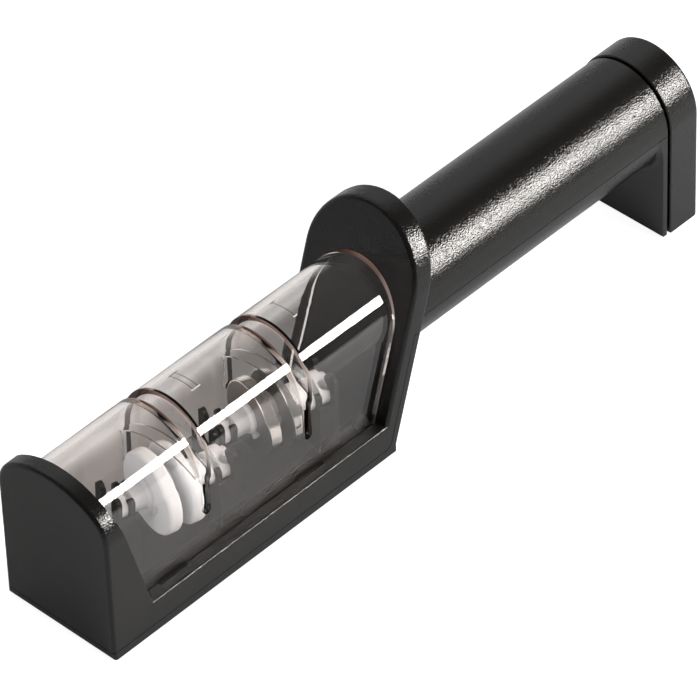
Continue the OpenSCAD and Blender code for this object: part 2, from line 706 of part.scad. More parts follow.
base_shell();
top_shell();
end_cap();
wheel_tray();
clear_cover();
sole_pad();
heel_pad();
base_screws();
handle_screws();
cap_screw();
ceramic_spindle();
ceramic_wheel_front();
ceramic_wheel_rear();
ceramic_spacer();
ceramic_end_hub();
diamond_spindle();
diamond_wheel_front();
diamond_wheel_rear();
diamond_spacer();
diamond_end_hub();
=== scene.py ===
import json
import math

import bpy
import numpy as np
from bpy.props import FloatProperty, FloatVectorProperty, PointerProperty
from bpy.types import Operator, Panel, PropertyGroup
from mathutils import Matrix, Quaternion, Vector


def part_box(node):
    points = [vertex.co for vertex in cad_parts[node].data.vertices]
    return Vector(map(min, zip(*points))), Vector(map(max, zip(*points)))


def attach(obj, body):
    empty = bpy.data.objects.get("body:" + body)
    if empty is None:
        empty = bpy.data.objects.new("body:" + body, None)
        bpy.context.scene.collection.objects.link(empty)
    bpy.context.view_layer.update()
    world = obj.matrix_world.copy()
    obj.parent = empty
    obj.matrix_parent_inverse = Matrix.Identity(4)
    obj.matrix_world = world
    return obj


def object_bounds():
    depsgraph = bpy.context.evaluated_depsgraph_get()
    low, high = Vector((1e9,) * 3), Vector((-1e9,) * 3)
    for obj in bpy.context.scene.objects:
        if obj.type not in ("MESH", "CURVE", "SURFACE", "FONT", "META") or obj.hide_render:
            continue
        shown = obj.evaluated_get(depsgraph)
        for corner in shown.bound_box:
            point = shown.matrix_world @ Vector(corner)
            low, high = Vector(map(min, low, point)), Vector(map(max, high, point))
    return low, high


bl_info = {
    "name": "Roller Knife Sharpener",
    "version": (1, 0, 0),
    "blender": (4, 5, 0),
    "location": "View3D > Sidebar > Sharpener",
    "description": "Finishes a two-stage roller knife sharpener and sets its studio",
    "category": "Object",
}

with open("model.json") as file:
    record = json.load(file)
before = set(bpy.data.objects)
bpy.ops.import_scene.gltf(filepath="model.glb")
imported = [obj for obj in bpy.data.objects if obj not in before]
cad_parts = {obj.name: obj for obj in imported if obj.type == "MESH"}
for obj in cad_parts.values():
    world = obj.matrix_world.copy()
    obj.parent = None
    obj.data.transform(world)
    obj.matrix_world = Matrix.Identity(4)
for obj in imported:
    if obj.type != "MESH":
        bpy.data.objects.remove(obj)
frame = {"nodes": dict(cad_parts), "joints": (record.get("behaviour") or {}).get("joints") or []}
CAD_BOX = [list(corner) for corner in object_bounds()]

MM = 0.001
HOUSING_NODES = ("base_shell", "top_shell", "end_cap")
SCREW_NODES = ("base_screws", "handle_screws", "cap_screw")
PAD_NODES = ("sole_pad", "heel_pad")
SPINDLE_NODES = ("ceramic_spindle", "ceramic_end_hub", "ceramic_spacer",
                 "diamond_spindle", "diamond_end_hub", "diamond_spacer")
CERAMIC_NODES = ("ceramic_wheel_front", "ceramic_wheel_rear")
DIAMOND_NODES = ("diamond_wheel_front", "diamond_wheel_rear")

# Cover
COVER_RADIUS = 16.8 * MM
COVER_WALL = 2.0 * MM
SHADOW_TINT = (0.92, 0.90, 0.89, 1.0)

# Painted edge glow: emission on the cover's cut edges that stands in for light piped through the
# plastic, lighter on the near, lit side and darker on the far, shaded side
CUT_FACING = 0.6
ARCH_RISE = 5.0 * MM
PAINTED_LEG_GLOW = 0.08
RIM_DEPTH = 0.6 * MM
PAINTED_INNER_GLOW = 0.5
PAINTED_EDGE_COLOURS = ((0.2, (0.60, 0.46, 0.41, 1.0)), (0.3, (0.34, 0.21, 0.17, 1.0)),
                (0.5, (0.36, 0.22, 0.18, 1.0)), (0.62, (0.18, 0.085, 0.06, 1.0)))
NEAR_LIT_EDGE_COLOUR = (0.0, (0.85, 0.70, 0.63, 1.0))
FAR_SHADED_EDGE_COLOUR = (0.8, (0.035, 0.017, 0.012, 1.0))

# Stage numerals: label, places of the bars behind the front end, half width of the serifs
NUMERALS = (("two", (52.75 * MM, 54.65 * MM), 1.75 * MM), ("one", (93.6 * MM,), 0.85 * MM))
NUMERAL_NEAR = -3.5 * MM
NUMERAL_FAR = 5.6 * MM
HEAD_SHIFT = 0.2 * MM
HEAD_WIDTH = 2.0
FOOT_WIDTH = 1.6
STROKE_SIDES = 12
STROKE_STEPS = 25

# Wheels
RIM_BAND = 0.45 * MM
BAND_BLEND = 0.1 * MM
RIM_ROUGHNESS = 0.13

# Smoothing
MERGE_DISTANCE = 0.002 * MM
SMOOTH_ANGLE = math.radians(32)

# Floor
FLOOR_REACH = 3.0
FLOOR_WHITE = 0.9
FLOOR_MIRRORED = 0.11
FLOOR_PAINTED_LIGHT_THROUGH = 0.5
# Painted shadow on the floor for rays bent by the cover: no light within the first distance from the
# axis, rising to painted light at the second
PAINTED_SHADOW_EDGE = 43 * MM
PAINTED_SHADOW_END = 57 * MM

# Backdrop: headings between which it fades in
BACKDROP_ACROSS = (0.15, 0.5)
BACKDROP_LOW = (0.4, 0.1)
BACKDROP_MIRRORED = 0.5

# Lamps
KEY_PLACE = (0.498, -0.685, 0.455)
KEY_TARGET = (0.0, 0.0, 0.047)
KEY_ROLL = math.radians(-18)
KEY_SIZE = (0.6, 0.24)
KEY_COLOUR = (1.0, 0.965, 0.93)
KEY_ON_FLOOR = 0.48
KEY_ON_WHEELS = 0.1
CEILING_PLACE = (0.6, 1.14, 1.0)
CEILING_TARGET = (0.6, 1.14, 0.0)
CEILING_SIZE = (2.4, 1.8)
FILL_PLACE = (-0.8, -0.1, 0.45)
FILL_TARGET = (-0.06, 0.0, 0.03)
FILL_SIZE = (0.6, 0.6)

# Camera, as fitted to the photograph
SENSOR_WIDTH = 36.0
PICTURE_WIDTH = 700.0
FOCAL_LENGTH = 6112.19
CAMERA_PLACE = (-0.93186, -0.91170, 1.18677)
CAMERA_TURN = ((0.6834282, 0.50124051, -0.53073896),
               (-0.72947564, 0.4408905, -0.52295397),
               (-0.02812795, 0.74456264, 0.66695974))
NEAR_CLIP = 0.05
FAR_CLIP = 20.0


def colour_property(name, description, default):
    """A colour with a name, a description and a default in linear light."""
    return FloatVectorProperty(name=name, description=description, default=default,
                               subtype="COLOR", size=3, min=0.0, max=1.0)


def length_property(name, description, default_mm):
    """A length that is typed in millimetres here and kept in metres."""
    return FloatProperty(name=name, description=description, default=default_mm * MM,
                         unit="LENGTH", subtype="DISTANCE", precision=5)


class SharpenerHousing(PropertyGroup):
    colour: colour_property("Plastic", "Colour of the moulded housing", (0.0056, 0.0051, 0.0047))
    roughness: FloatProperty(name="Roughness", description="Roughness of the moulded surface",
                             default=0.165, min=0.0, max=1.0, subtype="FACTOR")
    grain: length_property("Grain", "Size of the moulded surface's grain", 0.46)
    grain_depth: length_property("Grain depth", "Depth of that grain", 0.13)
    rubber: colour_property("Rubber", "Colour of the rubber pads", (0.02, 0.02, 0.02))
    screw: colour_property("Screws", "Colour of the plated screws", (0.55, 0.54, 0.52))


class SharpenerCover(PropertyGroup):
    ior: FloatProperty(name="IOR", description="Refractive index of the clear plastic",
                       default=1.57, min=1.3, max=1.8)
    tint: colour_property("Tint", "Light that the clear plastic lets through", (0.63, 0.45, 0.33))
    density: FloatProperty(name="Density", description="Strength of the tint for each metre",
                           default=60.0, min=0.0, max=400.0)
    # Strength of the painted glow on the cover's cut edges: emission that stands in for light piped
    # through the plastic
    glow: FloatProperty(name="Edge glow", description="Light that leaves the cover's cut edges",
                        default=0.8, min=0.0, max=2.0)
    stroke: length_property("Stroke", "Width of a numeral's engraved stroke", 0.2)
    relief: length_property("Relief", "Height of the burr beside a stroke", 0.05)
    # The numerals' colours are painted: the dark colour stands in for shade in the engraved grooves,
    # and the pale colour is a painted glint on the near serifs
    numeral: colour_property("Numeral", "Colour in the engraved strokes", (0.03, 0.025, 0.022))
    painted_glint: colour_property("Glint", "Colour of the strokes that catch the light",
                           (0.85, 0.83, 0.82))


class SharpenerWheels(PropertyGroup):
    ceramic: colour_property("Ceramic", "Colour of the fine wheels", (0.78, 0.80, 0.82))
    coarse: colour_property("Coarse", "Colour of the coarse wheels' faces", (0.27, 0.25, 0.23))
    rim: colour_property("Rim", "Colour of the coarse wheels' polished rims", (0.77, 0.74, 0.70))
    spindle: colour_property("Spindle", "Colour of the spindles", (0.66, 0.66, 0.68))


class SharpenerStage(PropertyGroup):
    floor: colour_property("Floor", "Colour of the floor", (0.82, 0.82, 0.82))
    world: FloatProperty(name="World", description="Strength of the light from all round",
                         default=0.12, min=0.0, max=2.0)
    key: FloatProperty(name="Key", description="Power of the low soft lamp on the near side",
                       default=16.5, min=0.0, max=200.0, unit="POWER")
    ceiling: FloatProperty(name="Ceiling", description="Power of the wide panel over the far side",
                           default=8.0, min=0.0, max=200.0, unit="POWER")
    fill: FloatProperty(name="Fill", description="Power of the soft lamp on the wheel sets",
                        default=4.5, min=0.0, max=200.0, unit="POWER")


def node_group(name, inputs, outputs):
    """An empty shader group with named sockets, each given as (name, kind, default)."""
    group = bpy.data.node_groups.new(name, "ShaderNodeTree")
    for label, kind, default in inputs:
        socket = group.interface.new_socket(name=label, in_out="INPUT", socket_type=kind)
        if default is not None:
            socket.default_value = default
    for label, kind in outputs:
        group.interface.new_socket(name=label, in_out="OUTPUT", socket_type=kind)
    enter = group.nodes.new("NodeGroupInput")
    leave = group.nodes.new("NodeGroupOutput")
    enter.location, leave.location = (-900, 0), (700, 0)
    return group, enter, leave


def add_node(tree, kind, x, y, **settings):
    """A node of the given kind with its settings."""
    node = tree.nodes.new(kind)
    node.location = (x, y)
    for key, value in settings.items():
        setattr(node, key, value)
    return node


def math_node(tree, operation, x, y, first, second=None):
    """A Math node whose inputs are sockets or plain numbers."""
    node = add_node(tree, "ShaderNodeMath", x, y, operation=operation)
    for index, value in enumerate((first, second)):
        if value is None:
            continue
        if isinstance(value, (int, float)):
            node.inputs[index].default_value = value
        else:
            tree.links.new(value, node.inputs[index])
    return node.outputs[0]


def moulded_grain_group():
    """Fine moulded texture: two sizes of noise make the height, and a slow noise shifts roughness."""
    group, enter, leave = node_group(
        "Moulded grain",
        [("Grain", "NodeSocketFloat", 0.0005), ("Roughness", "NodeSocketFloat", 0.4),
         ("Spread", "NodeSocketFloat", 0.06)],
        [("Height", "NodeSocketFloat"), ("Roughness", "NodeSocketFloat")])
    link = group.links.new
    coords = add_node(group, "ShaderNodeTexCoord", -900, 250)
    scale = math_node(group, "DIVIDE", -700, 50, 1.0, enter.outputs["Grain"])
    fine = add_node(group, "ShaderNodeTexNoise", -450, 200)
    fine.inputs["Detail"].default_value = 1.5
    link(coords.outputs["Object"], fine.inputs["Vector"])
    link(scale, fine.inputs["Scale"])
    cells = add_node(group, "ShaderNodeTexVoronoi", -450, -50)
    link(coords.outputs["Object"], cells.inputs["Vector"])
    link(scale, cells.inputs["Scale"])
    sum_height = math_node(group, "ADD", -200, 120, fine.outputs["Fac"], cells.outputs["Distance"])
    link(math_node(group, "MULTIPLY", 0, 120, sum_height, 0.5), leave.inputs["Height"])
    slow = add_node(group, "ShaderNodeTexNoise", -450, -330)
    slow.inputs["Scale"].default_value = 40.0
    slow.inputs["Detail"].default_value = 3.0
    link(coords.outputs["Object"], slow.inputs["Vector"])
    centred = math_node(group, "SUBTRACT", -200, -330, slow.outputs["Fac"], 0.5)
    spread = math_node(group, "MULTIPLY", 0, -330, centred, enter.outputs["Spread"])
    link(math_node(group, "ADD", 200, -330, spread, enter.outputs["Roughness"]),
         leave.inputs["Roughness"])
    return group


def wheel_rim_group():
    """Colour and roughness of a wheel: one pair on its faces, another on the band at its rim."""
    group, enter, leave = node_group(
        "Wheel rim",
        [("Centre", "NodeSocketVector", (0.0, 0.0, 0.0)),
         ("Axle", "NodeSocketVector", (1.0, 0.0, 0.0)),
         ("Radius", "NodeSocketFloat", 0.0116), ("Band", "NodeSocketFloat", 0.0005),
         ("Face", "NodeSocketColor", (0.3, 0.3, 0.3, 1.0)),
         ("Rim", "NodeSocketColor", (0.7, 0.7, 0.7, 1.0)),
         ("Face roughness", "NodeSocketFloat", 0.45),
         ("Rim roughness", "NodeSocketFloat", RIM_ROUGHNESS)],
        [("Colour", "NodeSocketColor"), ("Roughness", "NodeSocketFloat")])
    link = group.links.new
    coords = add_node(group, "ShaderNodeTexCoord", -900, 250)
    offset = add_node(group, "ShaderNodeVectorMath", -700, 150, operation="SUBTRACT")
    link(coords.outputs["Object"], offset.inputs[0])
    link(enter.outputs["Centre"], offset.inputs[1])
    cross = add_node(group, "ShaderNodeVectorMath", -500, 250, operation="CROSS_PRODUCT")
    link(offset.outputs["Vector"], cross.inputs[0])
    link(enter.outputs["Axle"], cross.inputs[1])
    size = add_node(group, "ShaderNodeVectorMath", -300, 250, operation="LENGTH")
    link(cross.outputs["Vector"], size.inputs[0])
    inner = math_node(group, "SUBTRACT", -300, 50, enter.outputs["Radius"], enter.outputs["Band"])
    share = add_node(group, "ShaderNodeMapRange", -50, 200, interpolation_type="SMOOTHSTEP")
    link(size.outputs["Value"], share.inputs["Value"])
    link(math_node(group, "SUBTRACT", -150, -50, inner, BAND_BLEND), share.inputs["From Min"])
    link(inner, share.inputs["From Max"])
    colour = add_node(group, "ShaderNodeMix", 250, 200, data_type="RGBA")
    link(share.outputs["Result"], colour.inputs["Factor"])
    link(enter.outputs["Face"], colour.inputs["A"])
    link(enter.outputs["Rim"], colour.inputs["B"])
    link(colour.outputs["Result"], leave.inputs["Colour"])
    rough = add_node(group, "ShaderNodeMix", 250, -100, data_type="FLOAT")
    link(share.outputs["Result"], rough.inputs["Factor"])
    link(enter.outputs["Face roughness"], rough.inputs["A"])
    link(enter.outputs["Rim roughness"], rough.inputs["B"])
    link(rough.outputs["Result"], leave.inputs["Roughness"])
    return group


def painted_edge_glow_group():
    """Painted glow on a clear arch's cut edges: emission that stands in for light piped through the
    plastic, pink on the near side where the lamp stands, then copper, then brown on the far, shaded
    side.

    The cut edges are the faces that look along the length, outside the arch's inner radius. Those that
    look back take their painted colour from the place across the width, and those that look ahead have
    one colour. The painted glow is brightest at the outer radius, and faint below the arch's axis.
    """
    group, enter, leave = node_group(
        "Edge glow",
        [("Axis height", "NodeSocketFloat", 0.0393),
         ("Inner radius", "NodeSocketFloat", COVER_RADIUS - COVER_WALL),
         ("Outer radius", "NodeSocketFloat", COVER_RADIUS),
         ("Front edge", "NodeSocketColor", (0.46, 0.33, 0.30, 1.0))],
        [("Colour", "NodeSocketColor")])
    link = group.links.new
    coords = add_node(group, "ShaderNodeTexCoord", -900, 300)
    place = add_node(group, "ShaderNodeSeparateXYZ", -700, 300)
    link(coords.outputs["Object"], place.inputs["Vector"])
    facing = add_node(group, "ShaderNodeSeparateXYZ", -700, 100)
    link(coords.outputs["Normal"], facing.inputs["Vector"])
    along = math_node(group, "ABSOLUTE", -500, 100, facing.outputs["X"])
    cut = math_node(group, "GREATER_THAN", -300, 100, along, CUT_FACING)
    rise = math_node(group, "SUBTRACT", -500, 300, place.outputs["Z"], enter.outputs["Axis height"])
    above = math_node(group, "MAXIMUM", -350, 300, rise, 0.0)
    flat = math_node(group, "MULTIPLY", -350, 450, place.outputs["Y"], place.outputs["Y"])
    high = math_node(group, "MULTIPLY", -200, 300, above, above)
    radius = math_node(group, "SQRT", 50, 350, math_node(group, "ADD", -50, 350, flat, high))
    in_wall = math_node(group, "GREATER_THAN", 200, 350, radius, enter.outputs["Inner radius"])
    arched = add_node(group, "ShaderNodeMapRange", 50, 600, interpolation_type="SMOOTHSTEP")
    link(rise, arched.inputs["Value"])
    arched.inputs["From Min"].default_value = 0.0
    arched.inputs["From Max"].default_value = ARCH_RISE
    arched.inputs["To Min"].default_value = PAINTED_LEG_GLOW
    arched.inputs["To Max"].default_value = 1.0
    mask = math_node(group, "MULTIPLY", 350, 250, math_node(group, "MULTIPLY", 250, 450, in_wall, cut),
                     arched.outputs["Result"])
    rim = add_node(group, "ShaderNodeMapRange", 200, 100, interpolation_type="SMOOTHSTEP")
    link(radius, rim.inputs["Value"])
    link(math_node(group, "SUBTRACT", 50, 50, enter.outputs["Outer radius"], RIM_DEPTH),
         rim.inputs["From Min"])
    link(enter.outputs["Outer radius"], rim.inputs["From Max"])
    rim.inputs["To Min"].default_value = PAINTED_INNER_GLOW
    rim.inputs["To Max"].default_value = 1.0
    across = math_node(group, "DIVIDE", -200, -150, place.outputs["Y"],
                       enter.outputs["Outer radius"])
    ramp = add_node(group, "ShaderNodeValToRGB", 0, -150)
    pink, brown = ramp.color_ramp.elements
    pink.position, pink.color = NEAR_LIT_EDGE_COLOUR
    brown.position, brown.color = FAR_SHADED_EDGE_COLOUR
    for position, colour in PAINTED_EDGE_COLOURS:
        ramp.color_ramp.elements.new(position).color = colour
    link(math_node(group, "MULTIPLY", -50, -300, math_node(group, "ADD", -150, -300, across, 1.0), 0.5),
         ramp.inputs["Fac"])
    side = add_node(group, "ShaderNodeMix", 300, -150, data_type="RGBA")
    link(math_node(group, "GREATER_THAN", 150, -350, facing.outputs["X"], 0.0),
         side.inputs["Factor"])
    link(ramp.outputs["Color"], side.inputs["A"])
    link(enter.outputs["Front edge"], side.inputs["B"])
    lit = add_node(group, "ShaderNodeMix", 500, 0, data_type="RGBA")
    link(math_node(group, "MULTIPLY", 450, 200, mask, rim.outputs["Result"]), lit.inputs["Factor"])
    lit.inputs["A"].default_value = (0.0, 0.0, 0.0, 1.0)
    link(side.outputs["Result"], lit.inputs["B"])
    link(lit.outputs["Result"], leave.inputs["Colour"])
    return group


def shared_group(name, build):
    """The shader group of that name, built the first time that a material asks for it."""
    return bpy.data.node_groups.get(name) or build()


def new_material(name, **sockets):
    """A material with a Principled shader whose named sockets hold plain values."""
    material = bpy.data.materials.new(name)
    material.use_nodes = True
    shader = material.node_tree.nodes["Principled BSDF"]
    for label, value in sockets.items():
        shader.inputs[label.replace("_", " ")].default_value = value
    return material, material.node_tree, shader


def opaque(colour):
    """A colour with full alpha."""
    return (*tuple(colour)[:3], 1.0)


def grained_material(name, colour, roughness, grain, depth, **sockets):
    """Plastic, rubber or ceramic: one colour under the shared moulded grain."""
    material, tree, shader = new_material(name, Base_Color=opaque(colour), **sockets)
    grain_node = add_node(tree, "ShaderNodeGroup", -600, -100)
    grain_node.node_tree = shared_group("Moulded grain", moulded_grain_group)
    grain_node.inputs["Grain"].default_value = grain
    grain_node.inputs["Roughness"].default_value = roughness
    tree.links.new(grain_node.outputs["Roughness"], shader.inputs["Roughness"])
    bump = add_node(tree, "ShaderNodeBump", -300, -250)
    bump.inputs["Distance"].default_value = depth
    bump.inputs["Strength"].default_value = 1.0
    tree.links.new(grain_node.outputs["Height"], bump.inputs["Height"])
    tree.links.new(bump.outputs["Normal"], shader.inputs["Normal"])
    return material


def dress(node, material):
    """Gives a CAD node its material and shades its curves smoothly."""
    piece = frame["nodes"][node]
    piece.data.materials.clear()
    piece.data.materials.append(material)
    smooth(piece)


def smooth_form_group():
    """Joins a mesh's loose triangles and shades it smoothly, apart from edges above a set angle."""
    name = "Smooth form"
    if name in bpy.data.node_groups:
        return bpy.data.node_groups[name]
    group = bpy.data.node_groups.new(name, "GeometryNodeTree")
    group.interface.new_socket(name="Geometry", in_out="INPUT", socket_type="NodeSocketGeometry")
    group.interface.new_socket(name="Geometry", in_out="OUTPUT", socket_type="NodeSocketGeometry")
    enter = add_node(group, "NodeGroupInput", -600, 0)
    leave = add_node(group, "NodeGroupOutput", 600, 0)
    merge = add_node(group, "GeometryNodeMergeByDistance", -400, 0)
    merge.inputs["Distance"].default_value = MERGE_DISTANCE
    faces = add_node(group, "GeometryNodeSetShadeSmooth", -200, 0, domain="FACE")
    edges = add_node(group, "GeometryNodeSetShadeSmooth", 300, 0, domain="EDGE")
    angle = add_node(group, "GeometryNodeInputMeshEdgeAngle", -200, -200)
    flat_enough = add_node(group, "FunctionNodeCompare", 50, -200, operation="LESS_THAN")
    flat_enough.inputs["B"].default_value = SMOOTH_ANGLE
    link = group.links.new
    link(enter.outputs[0], merge.inputs["Geometry"])
    link(merge.outputs["Geometry"], faces.inputs["Geometry"])
    link(faces.outputs["Geometry"], edges.inputs["Geometry"])
    link(angle.outputs["Unsigned Angle"], flat_enough.inputs["A"])
    link(flat_enough.outputs["Result"], edges.inputs["Shade Smooth"])
    link(edges.outputs["Geometry"], leave.inputs[0])
    return group


def smooth(piece):
    """Smooth shading as modifiers, so that the mesh itself stays as it is."""
    form = piece.modifiers.new("Smooth form", "NODES")
    form.node_group = smooth_form_group()
    weights = piece.modifiers.new("Face weights", "WEIGHTED_NORMAL")
    weights.mode = "FACE_AREA"
    weights.keep_sharp = True


def grid_mesh(name, points, closed_u=False, closed_v=False):
    """A mesh from a grid of points with one quad between each four neighbours."""
    rows, columns = points.shape[:2]
    index = np.arange(rows * columns).reshape(rows, columns)
    if closed_u:
        index = np.vstack([index, index[:1]])
    if closed_v:
        index = np.hstack([index, index[:, :1]])
    quads = np.stack([index[:-1, :-1], index[:-1, 1:], index[1:, 1:], index[1:, :-1]], axis=-1)
    mesh = bpy.data.meshes.new(name)
    mesh.from_pydata(points.reshape(-1, 3).tolist(), [], quads.reshape(-1, 4).tolist())
    mesh.update()
    return mesh


def joined(meshes, name):
    """One mesh from several meshes of quads, which are then removed."""
    points, quads, start = [], [], 0
    for mesh in meshes:
        coordinates = np.empty(len(mesh.vertices) * 3)
        mesh.vertices.foreach_get("co", coordinates)
        corners = np.empty(len(mesh.loops), dtype=np.int32)
        mesh.loops.foreach_get("vertex_index", corners)
        points.append(coordinates.reshape(-1, 3))
        quads.append(corners.reshape(-1, 4) + start)
        start += len(mesh.vertices)
        bpy.data.meshes.remove(mesh)
    result = bpy.data.meshes.new(name)
    result.from_pydata(np.vstack(points).tolist(), [], np.vstack(quads).tolist())
    result.update()
    return result


def stroke_mesh(name, start, end, half_width, relief, radius, axis_z):
    """A bead along a stroke laid on the arched cover.

    Along the stroke t runs from 0 to 1 and round the bead a runs from 0 to 2 pi. A point lies at
    start + t (end - start) + half_width cos(a) sideways in the plan. Its height is the arch's own,
    axis_z + sqrt(radius squared - y squared), plus relief sin(a). Both ends close to a point.
    """
    a = np.linspace(0.0, 2.0 * np.pi, STROKE_SIDES + 1)[:-1]
    t = np.concatenate([[0.0], np.linspace(0.0, 1.0, STROKE_STEPS), [1.0]])
    girth = np.concatenate([[0.0], np.ones(STROKE_STEPS), [0.0]])
    start, end = np.array(start), np.array(end)
    along = (end - start) / np.linalg.norm(end - start)
    side = np.array([-along[1], along[0]])
    plan = (start + t[:, None] * (end - start))[:, None, :]
    plan = plan + (girth[:, None] * half_width * np.cos(a))[:, :, None] * side
    height = axis_z + np.sqrt(radius ** 2 - plan[..., 1] ** 2)
    height = height + girth[:, None] * relief * np.sin(a)
    points = np.concatenate([plan, height[..., None]], axis=-1)
    return grid_mesh(name, points, closed_v=True)


def add_piece(name, mesh, body, material):
    """A new piece in the scene, riding on a body and finished from a material slot."""
    mesh.materials.append(material)
    piece = bpy.data.objects.new(name, mesh)
    bpy.context.scene.collection.objects.link(piece)
    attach(piece, body)
    return piece


class SHARPENER_OT_housing(Operator):
    """Finishes the shells, the end cap and the wheel tray in black moulded plastic"""

    bl_idname = "sharpener.housing"
    bl_label = "Housing"

    def execute(self, context):
        look = context.scene.sharpener_housing
        plastic = grained_material("Black moulded plastic", look.colour, look.roughness,
                                   look.grain, look.grain_depth, IOR=1.47)
        for node in HOUSING_NODES:
            dress(node, plastic)
        inner = grained_material("Black tray plastic", look.colour, roughness=0.45,
                                 grain=look.grain, depth=0.5 * look.grain_depth, IOR=1.47,
                                 Specular_IOR_Level=0.22)
        dress("wheel_tray", inner)
        return {"FINISHED"}


class SHARPENER_OT_fittings(Operator):
    """Finishes the rubber pads and the screws"""

    bl_idname = "sharpener.fittings"
    bl_label = "Pads and screws"

    def execute(self, context):
        look = context.scene.sharpener_housing
        rubber = grained_material("Rubber", look.rubber, roughness=0.78, grain=0.6 * MM,
                                  depth=0.03 * MM, IOR=1.5)
        for node in PAD_NODES:
            dress(node, rubber)
        plated = grained_material("Plated screw", look.screw, roughness=0.28, grain=0.3 * MM,
                                  depth=0.004 * MM, Metallic=1.0)
        for node in SCREW_NODES:
            dress(node, plated)
        return {"FINISHED"}


class SHARPENER_OT_cover(Operator):
    """Finishes the arched cover in clear plastic with a faint warm tint"""

    bl_idname = "sharpener.cover"
    bl_label = "Clear cover"

    def execute(self, context):
        look = context.scene.sharpener_cover
        material, tree, shader = new_material("Clear plastic", Base_Color=(1.0, 1.0, 1.0, 1.0),
                                              Roughness=0.0, IOR=look.ior,
                                              Transmission_Weight=1.0,
                                              Emission_Strength=look.glow)
        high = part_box("clear_cover")[1]
        # The emission here is a painted glow on the cut edges, lighter on the near, lit side
        glow = add_node(tree, "ShaderNodeGroup", -300, 0)
        glow.node_tree = shared_group("Edge glow", painted_edge_glow_group)
        glow.inputs["Outer radius"].default_value = high.y
        glow.inputs["Inner radius"].default_value = high.y - COVER_WALL
        glow.inputs["Axis height"].default_value = high.z - high.y
        tree.links.new(glow.outputs["Colour"], shader.inputs["Emission Color"])
        absorb = add_node(tree, "ShaderNodeVolumeAbsorption", 0, -400)
        absorb.inputs["Color"].default_value = opaque(look.tint)
        absorb.inputs["Density"].default_value = look.density
        output = tree.nodes["Material Output"]
        tree.links.new(absorb.outputs["Volume"], output.inputs["Volume"])
        path = add_node(tree, "ShaderNodeLightPath", 0, 400)
        clear = add_node(tree, "ShaderNodeBsdfTransparent", 0, 200)
        clear.inputs["Color"].default_value = SHADOW_TINT
        mix = add_node(tree, "ShaderNodeMixShader", 250, 200)
        tree.links.new(path.outputs["Is Shadow Ray"], mix.inputs[0])
        tree.links.new(shader.outputs[0], mix.inputs[1])
        tree.links.new(clear.outputs[0], mix.inputs[2])
        tree.links.new(mix.outputs[0], output.inputs["Surface"])
        dress("clear_cover", material)
        return {"FINISHED"}


class SHARPENER_OT_numerals(Operator):
    """Engraves the stage numerals on the crown of the cover"""

    bl_idname = "sharpener.numerals"
    bl_label = "Stage numerals"

    def execute(self, context):
        look = context.scene.sharpener_cover
        axis_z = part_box("clear_cover")[1].z - COVER_RADIUS
        # Painted shade on the bars and far serifs, a painted glint on the near serifs
        dark, _, _ = new_material("Engraved stroke, painted shade", Base_Color=opaque(look.numeral),
                                  Roughness=0.5, Specular_IOR_Level=0.15)
        pale, _, _ = new_material("Painted glint stroke", Base_Color=opaque(look.painted_glint), Roughness=0.3)
        near, far = NUMERAL_NEAR, NUMERAL_FAR
        front = CAD_BOX[0][0]
        for label, bars, half in NUMERALS:
            middle = front + sum(bars) / len(bars)
            uprights = [((front + x, near), (front + x, far)) for x in bars]
            head = [((middle - half + HEAD_SHIFT, far), (middle + half + HEAD_SHIFT, far))]
            foot = [((middle - half, near), (middle + half, near))]
            for kind, strokes, width, material in (
                    ("bars", uprights, look.stroke, dark),
                    ("head", head, HEAD_WIDTH * look.stroke, dark),
                    ("foot", foot, FOOT_WIDTH * look.stroke, pale)):
                meshes = [stroke_mesh("stroke", start, end, width / 2, look.relief,
                                      COVER_RADIUS, axis_z) for start, end in strokes]
                name = f"numeral_{label}_{kind}"
                add_piece(name, joined(meshes, name), "cover", material)
        return {"FINISHED"}


class SHARPENER_OT_wheels(Operator):
    """Finishes the fine and coarse wheels and their white spindles"""

    bl_idname = "sharpener.wheels"
    bl_label = "Wheels and spindles"

    def execute(self, context):
        look = context.scene.sharpener_wheels
        ceramic = grained_material("Fine ceramic", look.ceramic, roughness=0.55,
                                   grain=0.35 * MM, depth=0.02 * MM, Subsurface_Weight=0.6,
                                   Subsurface_Scale=4.0 * MM, Subsurface_Radius=(1.0, 1.0, 1.0))
        for node in CERAMIC_NODES:
            dress(node, ceramic)
        white = grained_material("White plastic", look.spindle, roughness=0.35, grain=0.8 * MM,
                                 depth=0.004 * MM)
        for node in SPINDLE_NODES:
            dress(node, white)
        coarse = self.coarse_material(look)
        for node in DIAMOND_NODES:
            dress(node, coarse)
        return {"FINISHED"}

    def coarse_material(self, look):
        """Dull metal on the faces and a polished band on the rim, told apart by radius."""
        joint = next(j for j in frame["joints"] if j["name"] == "diamond_wheels_spin")
        low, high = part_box("diamond_wheel_rear")
        material = grained_material("Coarse metal", look.coarse, roughness=0.45,
                                    grain=0.28 * MM, depth=0.02 * MM, Metallic=1.0)
        tree = material.node_tree
        shader = tree.nodes["Principled BSDF"]
        band = add_node(tree, "ShaderNodeGroup", -900, 300)
        band.node_tree = shared_group("Wheel rim", wheel_rim_group)
        band.inputs["Centre"].default_value = joint["pos_m"]
        band.inputs["Axle"].default_value = joint["axis"]
        band.inputs["Radius"].default_value = (high.z - low.z) / 2
        band.inputs["Band"].default_value = RIM_BAND
        band.inputs["Face"].default_value = opaque(look.coarse)
        band.inputs["Rim"].default_value = opaque(look.rim)
        band.inputs["Rim roughness"].default_value = RIM_ROUGHNESS
        tree.links.new(shader.inputs["Roughness"].links[0].from_socket,
                       band.inputs["Face roughness"])
        tree.links.new(band.outputs["Colour"], shader.inputs["Base Color"])
        tree.links.new(band.outputs["Roughness"], shader.inputs["Roughness"])
        return material


